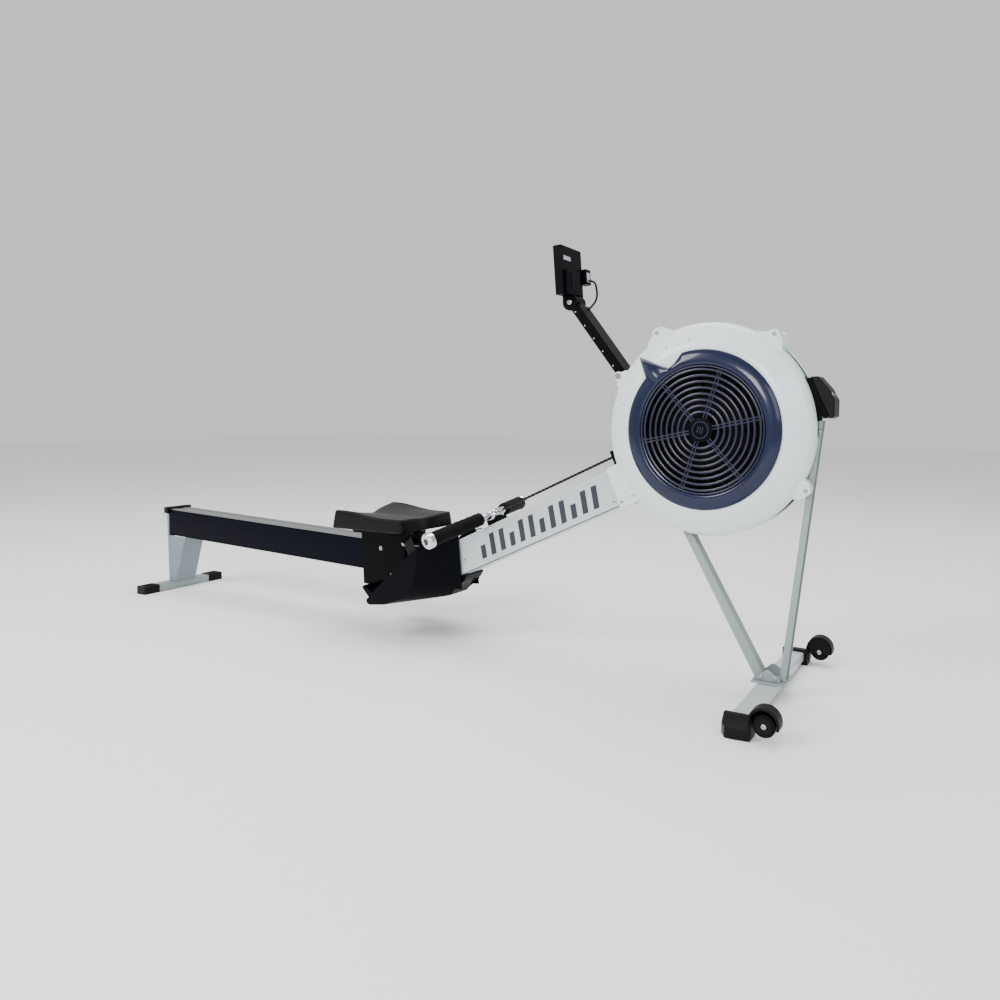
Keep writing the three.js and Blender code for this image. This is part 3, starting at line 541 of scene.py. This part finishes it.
def front_cap(side, y):
    x, z = 2290, 45
    plan = [(x - 34, 257), (x + 34, 257), (x + 34, 301), (x + 4, 305), (x - 20, 305), (x - 34, 281)]
    roof = [(x - 34, 257), (x + 34, 257), (x + 34, 276), (x + 4, 276), (x - 22, 274), (x - 34, 266)]
    flip = lambda outline: [(a, y * b) for a, b in outline]
    cap = Shape()
    cap.stack([(0, flip(plan)), (24, flip(plan)), (42, flip(roof))])
    hood = arc(2352, z, 34, -20, 200, 30) + arc(2352, z, 28.6, 200, -20, 30)
    cap.slab(hood, *sides(y, 271, 305))
    cap.slab(arc(2352, z, 33, -20, 200, 30), *sides(y, 271, 274.5))
    cap.box(2317, 2326, *sides(y, 271, 300), 10, 50)
    cap.made("front_end_cap_" + side, "cap_rubber", "frame", ["front_foot_cap_" + side], 1.4, 3)
    ribs = Shape()
    for k in range(12):
        turn = Matrix.Translation((2352, 0, z)) @ Matrix.Rotation(-math.radians(-8 + 18 * k), 4, "Y")
        ribs.box(32, 34.2, *sides(y, 273, 303), -1.8, 1.8, turn=turn)
    ribs.made("mudguard_ribs_" + side, "cap_rubber", "frame", bevel=0.5)
    wheel = Shape()
    face = [(4.5, 279.2), (18, 279.2), (19.5, 281.5), (22, 281.5), (23.5, 279.6), (25, 281.5), (25, 294.5)]
    face += [(23.5, 296.4), (22, 294.6), (19.5, 294.6), (18, 296.8), (4.5, 296.8)]
    wheel.turned([(r, y * w) for r, w in face], 2352, 38, 72)
    wheel.made("transport_wheel_" + side, "cap_rubber", "caster_" + side, ["caster_wheel_" + side])
    axle = Shape()
    axle.disc(2352, 38, 4, *sides(y, 273, 298))
    axle.bolt((2352, y * 298, 38), (0, y, 0), 6.5, 3.2)
    axle.bolt((2352, y * 271, 38), (0, -y, 0), 6.5, 3.2)
    axle.made("caster_screw_" + side, "bare_steel", "frame")


def bumper():
    for side, _ in SIDES:
        keep("axle_plate_" + side, "black_steel", 0.8)
        keep("axle_bearing_" + side, "bare_steel", 0.8)
    keep("bumper_bracket", "black_steel", 1.2)
    keep("front_bumper", "cap_rubber", 3.5, 3)
    bolts = Shape(BEAM)
    for y in (RIGHT, LEFT):
        for s in (1098, 1108):
            bolts.bolt((s, y * 24, -88), (0, y, 0), 4, 3.5, True)
    for y in (-20, 20):
        bolts.bolt((1144.5, y, -60), (1, 0, 0), 5, 1.5)
    bolts.made("bumper_screws", "bare_steel", "frame")


# ---- Fan, grille, damper and shells --------------------------------------------------------
def drive():
    for name, finish in (
        ("flywheel_axle", "bare_steel"), ("chain_sprocket", "bare_steel"), ("cord_pulley", "black_plastic"),
        ("shock_cord", "cord_rubber"), ("chain_return_run", "chain_steel"),
    ):
        keep(name, finish, 0.4)
    fan = Shape(CAGE)
    fan.turned([(30, -43), (178, -43), (178, -40.5), (30, -40.5)], n=96)
    fan.turned([(8.5, -70), (30, -70), (34, -66), (34, -40.5), (8.5, -40.5)], n=64)
    for k in range(24):
        a = 2 * math.pi * k / 24
        blade = []
        for i in range(9):
            r = 92 + 85 * i / 8
            t = a + 0.22 * math.sin(math.pi * i / 16)
            blade.append((r * math.cos(t), r * math.sin(t), t))
        front = [(x + 1.2 * math.sin(t), z - 1.2 * math.cos(t)) for x, z, t in blade]
        back = [(x - 1.2 * math.sin(t), z + 1.2 * math.cos(t)) for x, z, t in blade]
        fan.slab(front + back[::-1], -68, -42)
    # The fan's finish is darker than its own black plastic, as painted shade inside the cage.
    fan.made("flywheel_fan", "black_plastic", "fan", ["flywheel"], 0.3, look=FAN_BLACK_AND_SHADE)


def grille():
    rings = Shape(CAGE)
    for k in range(8):
        r = 44 + 14.7 * k
        turns = [i * math.pi / 5 for i in range(10)]
        rings.turned([(r + 3.0 * math.cos(t), -86.6 + 1.9 * math.sin(t)) for t in turns], n=112)
    rings.turned([(153, -88.5), (156.5, -89.5), (157.4, -88), (157.4, -80.4), (153, -80.4)], n=128)
    for k in range(6):
        turn = Matrix.Rotation(-math.radians(12 + 60 * k), 4, "Y")
        for w in (-3.6, 3.6):
            rings.box(26, 155, -88.6, -84.6, w - 1.5, w + 1.5, turn=turn)
    rings.made("grille_rings", "grille_plastic", "frame", ["fan_grille"], 0.5)
    hub = Shape(CAGE)
    hub.turned([(0.5, -85), (30, -85), (30, -88.5), (28, -90.2), (24, -90.8), (0.5, -90.8)], n=80)
    hub.made("grille_hub", "black_plastic", "frame")
    mark = Shape(CAGE)
    mark.turned([(18.5, -90.6), (21.5, -90.6), (21.5, -91.4), (18.5, -91.4)], n=64)
    for k in range(3):
        mark.box(-8 + 6 * k, -5 + 6 * k, -91.3, -90.7, -8, 8, turn=Matrix.Rotation(0.3, 4, "Y"))
    mark.made("hub_emblem", "grille_plastic", "frame")


def ring_edge(degrees):
    """Outer radius of the damper ring, with its pointed lever and the notch beside it."""
    d = degrees % 360
    if 125.5 <= d <= 139.5:
        return 195 + 49 * (1 - abs(d - 132.5) / 7) ** 1.15
    if 120 <= d < 125.5:
        return 172 + 23 * (d - 120) / 5.5
    if 106 <= d < 120:
        return 172 + 23 * ((120 - d) / 14) ** 1.5
    return 195


def damper():
    ring = Shape(CAGE)
    steps = 720
    rings = []
    for k in range(steps):
        d = 360 * k / steps
        a = math.radians(d)
        r = ring_edge(d)
        near = max(0.0, 1 - abs(d - 132.5) / 4.5)
        section = [(158, -80.2), (158, -88.5), (160.5, -91.6), (165, -92.4), (172, -91.4 - 3 * near)]
        section += [(172 + (r - 172) * 0.55, -88.6 - 4.5 * near)]
        section += [(r - 3, -84.6 - 3 * near), (r, -82), (r - 1, -80.2)]
        rings.append([(x * math.cos(a), y, x * math.sin(a)) for x, y in section])
    ring.loft(rings, closed=True)
    ring.made("damper_dial", "navy_plastic", "damper", ["damper_ring"], smooth=50)
    marks = Shape(CAGE)
    for k in range(10):
        turn = Matrix.Rotation(-math.radians(100 + 8 * k), 4, "Y")
        if not 122 <= 100 + 8 * k <= 143:
            marks.box(214, 222 if k % 2 else 228, -74.4, -72.9, -0.8, 0.8, turn=turn)
    marks.made("damper_scale", "shell_plastic", "frame", look=LABEL)


# Profiles of the two shells as (radius, y): out along the face, round the rim and back inside.
RIGHT_SHELL = [
    (160, -78.9), (200, -78.9), (206, -78.2), (214, -75.6), (232, -66.4), (244, -60.4), (252, -55.4),
    (258, -49.8), (262, -43), (264, -36), (264, -31), (261.5, -31), (261.5, -36), (259.6, -42), (255.8, -48),
    (250.3, -53.2), (242.8, -58), (231, -64), (213, -73.2), (205, -75.7), (199.5, -76.4), (160, -76.4),
]
LEFT_SHELL = [
    (0.5, 74), (54, 74), (60, 73), (65, 70), (228, 68), (243, 66), (252, 62.6), (258.6, 57.4), (262.6, 51),
    (264, 45), (264, 31), (261.5, 31), (261.5, 44.4), (260.4, 49.6), (257, 55), (251, 59.8), (242, 63.2),
    (228, 65.2), (65, 67.2), (59, 70.4), (53, 71.4), (0.5, 71.4),
]


def shells():
    # Each lug's angle and the radius of its screw; the third carries the monitor arm's pivot.
    up, out = ARM_Z - AXLE_Z, ARM_X - AXLE_X
    lugs = [(54.5, 281), (119, 277), (math.degrees(math.atan2(up, out)), math.hypot(up, out)), (-29.4, 279)]
    screws = Shape(CAGE)
    for side, y in SIDES:
        shell = Shape(CAGE)
        shell.turned(RIGHT_SHELL if y < 0 else LEFT_SHELL, n=160)
        for index, (angle, r) in enumerate(lugs):
            a = math.radians(angle)
            c, s = math.cos(a), math.sin(a)
            head = arc(0, 0, 11.5, angle - 90, angle + 90, 12)
            wide = 46 if index < 2 else 30
            foot = [(r0 * c - w * s, r0 * s + w * c) for w, r0 in ((wide, 252), (0.6 * wide, 256))]
            foot += [(r0 * c - w * s, r0 * s + w * c) for w, r0 in ((-0.6 * wide, 256), (-wide, 252))]
            rise = [(0.72 * wide, 266), (0.45 * wide, 273)]
            outline = [(r * c + x, r * s + z) for x, z in head]
            outline += [(q * c - w * s, q * s + w * c) for w, q in rise[::-1]] + foot
            outline += [(q * c + w * s, q * s - w * c) for w, q in rise]
            shell.slab(outline, *sides(y, 31, 48))
            if index != 2:
                screws.bolt((r * c, y * 48, r * s), (0, y, 0), 5.5, 3)
                # A block joins each pair of lugs across the rims; the lowest one straddles the strut.
                hump = [(22, 258), (20, 274), (10, 286), (-2, 290), (-14, 286), (-26, 277)]
                hump += [(-33, 268), (-34, 258)]
                across = [(q * c - w * s, q * s + w * c) for w, q in hump]
                shell.slab(across, *sides(y, 16 if index == 3 else 0.5, 45))
        tilt = Matrix.Rotation(-math.radians(BEAM_ANGLE), 4, "Y") @ Matrix.Translation((-AXLE_S, 0, -AXLE_H))
        plate = [(546, -107), (612, -107), (612, 3), (552, 3), (546, -3)]
        shell.slab(plate, *sides(y, 40.4, 50.4), turn=tilt)
        for s, h in ((556, -92), (600, -92)):
            p = tilt @ Vector((s, y * 50.4, h))
            screws.bolt(p, (0, y, 0), 4.5, 2.6)
        # Towards the front the two rims reach in to leave only a narrow slot.
        for a0, a1 in ((-27, -3), (29, 50)):
            band = arc(0, 0, 264, a0, a1, 16) + arc(0, 0, 261.6, a1, a0, 16)
            shell.slab(band, *sides(y, 16.6, 31.5))
        if y < 0:
            # The fairing's raised panel runs from the beam's end into the bulge of the shell.
            panel = [(1867, 537), (1936, 540), (1984, 503), (1925, 470), (1878, 512)]
            shell.slab([(x - AXLE_X, z - AXLE_Z) for x, z in panel], -57, -40.4)
        shell.made("fan_shell_" + side, "shell_plastic", "frame", ["cage_shell_" + side], 0.9, 2, 28)
    screws.made("shell_screws", "bare_steel", "frame")


def screen():
    """The perforated band between the shells, left open where the frame passes through it."""
    around, rows = 176, 7
    wide = 2 * 33.6 / rows
    mesh = Shape(CAGE)

    def spot(k, y, r):
        a = 2 * math.pi * k / around
        return (r * math.cos(a), y, r * math.sin(a))

    openings = [(198.6, 212), (-20, 21), (244, 262)]
    for k in range(around):
        degrees = 360 * (k + 0.5) / around
        if any(lo <= degrees <= hi or lo <= degrees - 360 <= hi for lo, hi in openings):
            continue
        for j in range(rows):
            y = -33.6 + wide * (j + 0.5)
            corners = [(k, y - wide / 2), (k + 1, y - wide / 2), (k + 1, y + wide / 2), (k, y + wide / 2)]
            turns = [math.radians(-135 + 45 * i) for i in range(8)]
            hole = [(k + 0.5 + 0.31 * math.cos(t), y + 0.31 * wide * math.sin(t)) for t in turns]
            edge = []
            for i in range(4):
                a, b = corners[i], corners[(i + 1) % 4]
                edge += [a, ((a[0] + b[0]) / 2, (a[1] + b[1]) / 2)]
            ring = [spot(*p, 255.4) for p in edge] + [spot(*p, 255.4) for p in hole]
            back = [spot(*p, 254.2) for p in edge] + [spot(*p, 254.2) for p in hole]
            faces = []
            for i in range(8):
                n = (i + 1) % 8
                faces += [[i, n, 8 + n, 8 + i], [16 + i, 24 + i, 24 + n, 16 + n]]
                faces += [[8 + i, 8 + n, 24 + n, 24 + i], [i, 16 + i, 16 + n, n]]
            mesh.add(ring + back, faces)
    mesh.made("screen_lattice", "screen_steel", "frame", ["cage_screen"], smooth=40)


# ---- Monitor and its arm -------------------------------------------------------------------
def arm():
    keep("monitor_arm", "black_steel", 1.2)
    keep("monitor_arm_bolt", "bare_steel", 0.8)
    trim = Shape(ARM)
    for y in (RIGHT, LEFT):
        for x in (52, 96, 140, 184):
            trim.box(x, x + 26, *sides(y, 28.8, 29.8), -3, 3)
    trim.made("arm_side_slots", "black_plastic", "arm", bevel=0.4)
    rivets = Shape(ARM)
    for y in (RIGHT, LEFT):
        for x in (36, 86, 130, 174, 222):
            rivets.bolt((x + 1, y * 29, 2), (0, y, 0), 2.4, 1.2)
    rivets.made("arm_rivets", "bare_steel", "arm")
    pivot = Shape()
    for y in (RIGHT, LEFT):
        pivot.bolt((KNUCKLE[0], y * 26, KNUCKLE[1]), (0, y, 0), 8, 4.5)
    pivot.made("monitor_pivot_bolts", "bare_steel", "monitor")


def monitor():
    keep("monitor_case", "black_plastic", 2.6, 3)
    keep("monitor_screen", "display", 0.4)
    for place in ("right", "middle", "left"):
        keep("monitor_button_" + place, "cap_rubber", 1, 2)
    # The case leans by 0.08 radians about the lower edge of its back.
    corner = Vector((1729, 0, 1004))
    lean = Matrix.Translation(corner) @ Matrix.Rotation(-0.08, 4, "Y") @ Matrix.Translation(-corner)
    labels = Shape()
    labels.box(1728.5, 1729.5, -44, -6, 1098, 1109, turn=lean)
    labels.box(1747.5, 1748.5, 49, 67, 1048, 1074, turn=lean)
    labels.made("monitor_labels", "silver_paint", "monitor", bevel=0.2, look=LABEL)
    detail = Shape()
    detail.box(1744.5, 1746.2, -38, 6, 1012, 1062, turn=lean)
    for y in (-50, 50):
        for z in (1012, 1128):
            detail.bolt(lean @ Vector((1729, y, z)), (1, 0, 0.08), 3, 1)
    detail.made("monitor_back_ribs", "black_plastic", "monitor", bevel=0.4)
    corners = ((1743, 58, 1054), (1764, 57, 1046), (1775, 50, 1014), (1775, 38, 990), (1767, 20, 970))
    route = [Vector(p) for p in corners]
    line = []
    for i in range(len(route) - 1):
        p0, p1 = route[max(i - 1, 0)], route[i]
        p2, p3 = route[i + 1], route[min(i + 2, len(route) - 1)]
        for k in range(8):
            t = k / 8
            square = (2 * p0 - 5 * p1 + 4 * p2 - p3) * t * t
            cube = (3 * p1 - p0 - 3 * p2 + p3) * t**3
            line.append(0.5 * (2 * p1 + (p2 - p0) * t + square + cube))
    line.append(route[-1])
    cable = Shape()
    cable.tube(line, 3, 16)
    made = cable.made("sensor_lead", "cord_rubber", None, ["sensor_cable"], smooth=60)
    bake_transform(made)


# ---- Handle and chain ----------------------------------------------------------------------
# The chain's height above the beam's top face, and its pitch.
CHAIN_H, CHAIN_PITCH = 30.9, 12.7


def handle():
    centre = Vector((1470, 0, 386))
    ends = {RIGHT: Vector((1420, -235, 337)), LEFT: Vector((1404, 235, 391))}
    bar = Shape()
    for side, y in SIDES:
        end = ends[y]
        knee = centre.lerp(end, 0.2) + Vector((6, 0, 5))
        along = (end - knee).normalized()
        before = centre + Vector((0, -2 * y, 0))
        path = [before, centre.lerp(knee, 0.35), centre.lerp(knee, 0.7), knee]
        path += [knee + along * 12, end - along * 2]
        bar.tube(path, 11, 28)
        start = knee + along * 12
        span = (end - along * 6) - start
        steps = 34
        points, widths = [], []
        for i in range(steps + 1):
            t = i / steps
            points.append(start + span * t)
            swell = 19.0 + 1.2 * t + 0.4 * math.cos(2 * math.pi * t * 8)
            widths.append(14 if i in (0, steps) else swell)
        grip = Shape()
        grip.tube(points, 17, 32, widths)
        grip.made("grip_sleeve_" + side, "grip_foam", "handle", ["handle_grip_" + side], smooth=70)
        cap = [(-5, 18), (-4, 22.5), (0, 23), (9, 23), (12, 22), (14, 18.5), (14.2, 12), (13, 11), (13, 3)]
        bar.tube([end + along * t for t, _ in cap], 23, 44, [r for _, r in cap])
        plug = Shape()
        plug.tube([end + along * 12.6, end + along * 14.6], 9.5, 24)
        plug.made("handle_cap_plug_" + side, "screen_steel", "handle", bevel=0.4)
    hub = [(0.5, -22), (15.5, -22), (16.8, -20), (16.8, 20), (15.5, 22), (0.5, 22)]
    bar.turned(hub, centre.x, centre.z, 48)
    lean = Matrix.Translation(centre) @ Matrix.Rotation(-math.radians(BEAM_ANGLE), 4, "Y")
    bar.box(6, 28, -5, 5, -4, 4, turn=lean)
    bar.made("handle_bar_body", "chrome", "handle", ["handle_bar"], 0.4, smooth=45)
    clasp = Shape(BEAM)
    loop = ((150, -14), (158, -12), (165, -6), (167, 0), (165, 6), (158, 12), (150, 14))
    clasp.tube([(s, y, CHAIN_H) for s, y in loop], 2.6, 14)
    clasp.made("chain_clasp", "bare_steel", "handle")


def link(shape, s, wide):
    """One chain link's two side plates, as a figure of eight."""
    half = CHAIN_PITCH / 2
    outline = arc(half, 0, 3.7, -110, 110, 8) + [(0, 2.5)] + arc(-half, 0, 3.7, 70, 290, 8) + [(0, -2.5)]
    place = Matrix.Translation((s, 0, CHAIN_H))
    inner, outer = (3.0, 4.1) if wide else (1.7, 2.8)
    shape.slab(outline, inner, outer, turn=place)
    shape.slab(outline, -outer, -inner, turn=place)


def chain():
    run = Shape(BEAM)
    for k in range(52):
        s = 170 + CHAIN_PITCH * k
        link(run, s, k % 2 == 0)
        run.disc(s + CHAIN_PITCH / 2, CHAIN_H, 2.9, -1.8, 1.8, 14)
        run.disc(s + CHAIN_PITCH / 2, CHAIN_H, 1.3, -4.6, 4.6, 10)
    made = run.made("chain_run", "chain_steel", None, ["drive_chain"], smooth=40)
    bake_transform(made)
    keep("chain_guide", "black_plastic", 1.5, 2)


# ---- Stage, light and camera ---------------------------------------------------------------
def stage():
    floor_mesh = bpy.data.meshes.new("floor")
    floor_mesh.from_pydata([(-14, -14, 0), (14, -14, 0), (14, 14, 0), (-14, 14, 0)], [], [[0, 1, 2, 3]])
    floor = bpy.data.objects.new("floor", floor_mesh)
    bpy.context.scene.collection.objects.link(floor)
    floor_mesh.materials.append(material("floor_pale", (246, 246, 246), 0.9, 0, 0.005, 30, 0.0))
    world = bpy.data.worlds.new("studio")
    bpy.context.scene.world = world
    world.use_nodes = True
    world.node_tree.nodes["Background"].inputs[0].default_value = (1, 1, 1, 1)
    world.node_tree.nodes["Background"].inputs[1].default_value = 0.82
    for name, place, size, power in (
        ("key", (-1.8, -3.4, 3.4), 1.8, 150),
        ("fill", (3.8, -3.0, 2.2), 2.0, 45),
        ("front", (1.1, -3.9, 1.9), 1.0, 60),
        ("top", (0.4, 0.8, 4.2), 3.0, 130),
    ):
        lamp = bpy.data.lights.new(name, "AREA")
        lamp.size = size
        lamp.energy = power
        obj = bpy.data.objects.new(name, lamp)
        obj.location = place
        obj.rotation_euler = (Vector((0.1, 0, 0.5)) - Vector(place)).to_track_quat("-Z", "Y").to_euler()
        bpy.context.scene.collection.objects.link(obj)


def camera():
    yaw, pitch, roll = (math.radians(a) for a in (28.502, -2.994, 0.456))
    forward = Vector((-math.sin(yaw) * math.cos(pitch), math.cos(yaw) * math.cos(pitch), math.sin(pitch)))
    right = forward.cross(Vector((0, 0, 1))).normalized()
    up = right.cross(forward)
    across = right * math.cos(roll) + up * math.sin(roll)
    above = up * math.cos(roll) - right * math.sin(roll)
    data = bpy.data.cameras.new("camera")
    data.sensor_width = 36
    data.lens = 27.68
    data.shift_x = -0.0781
    data.shift_y = -0.0495
    data.clip_start = 0.02
    obj = bpy.data.objects.new("camera", data)
    turn = Matrix((across, above, -forward)).transposed().to_4x4()
    obj.matrix_world = Matrix.Translation((1.55315, -1.86053, 0.69231)) @ turn
    bpy.context.scene.collection.objects.link(obj)
    bpy.context.scene.camera = obj


STEPS = (
    rear_end, monorail, seat, carriage, beam, footrests, front_end, bumper, drive, grille, damper, shells,
    screen, arm, monitor, handle, chain, stage, camera,
)
for step in STEPS:
    step()
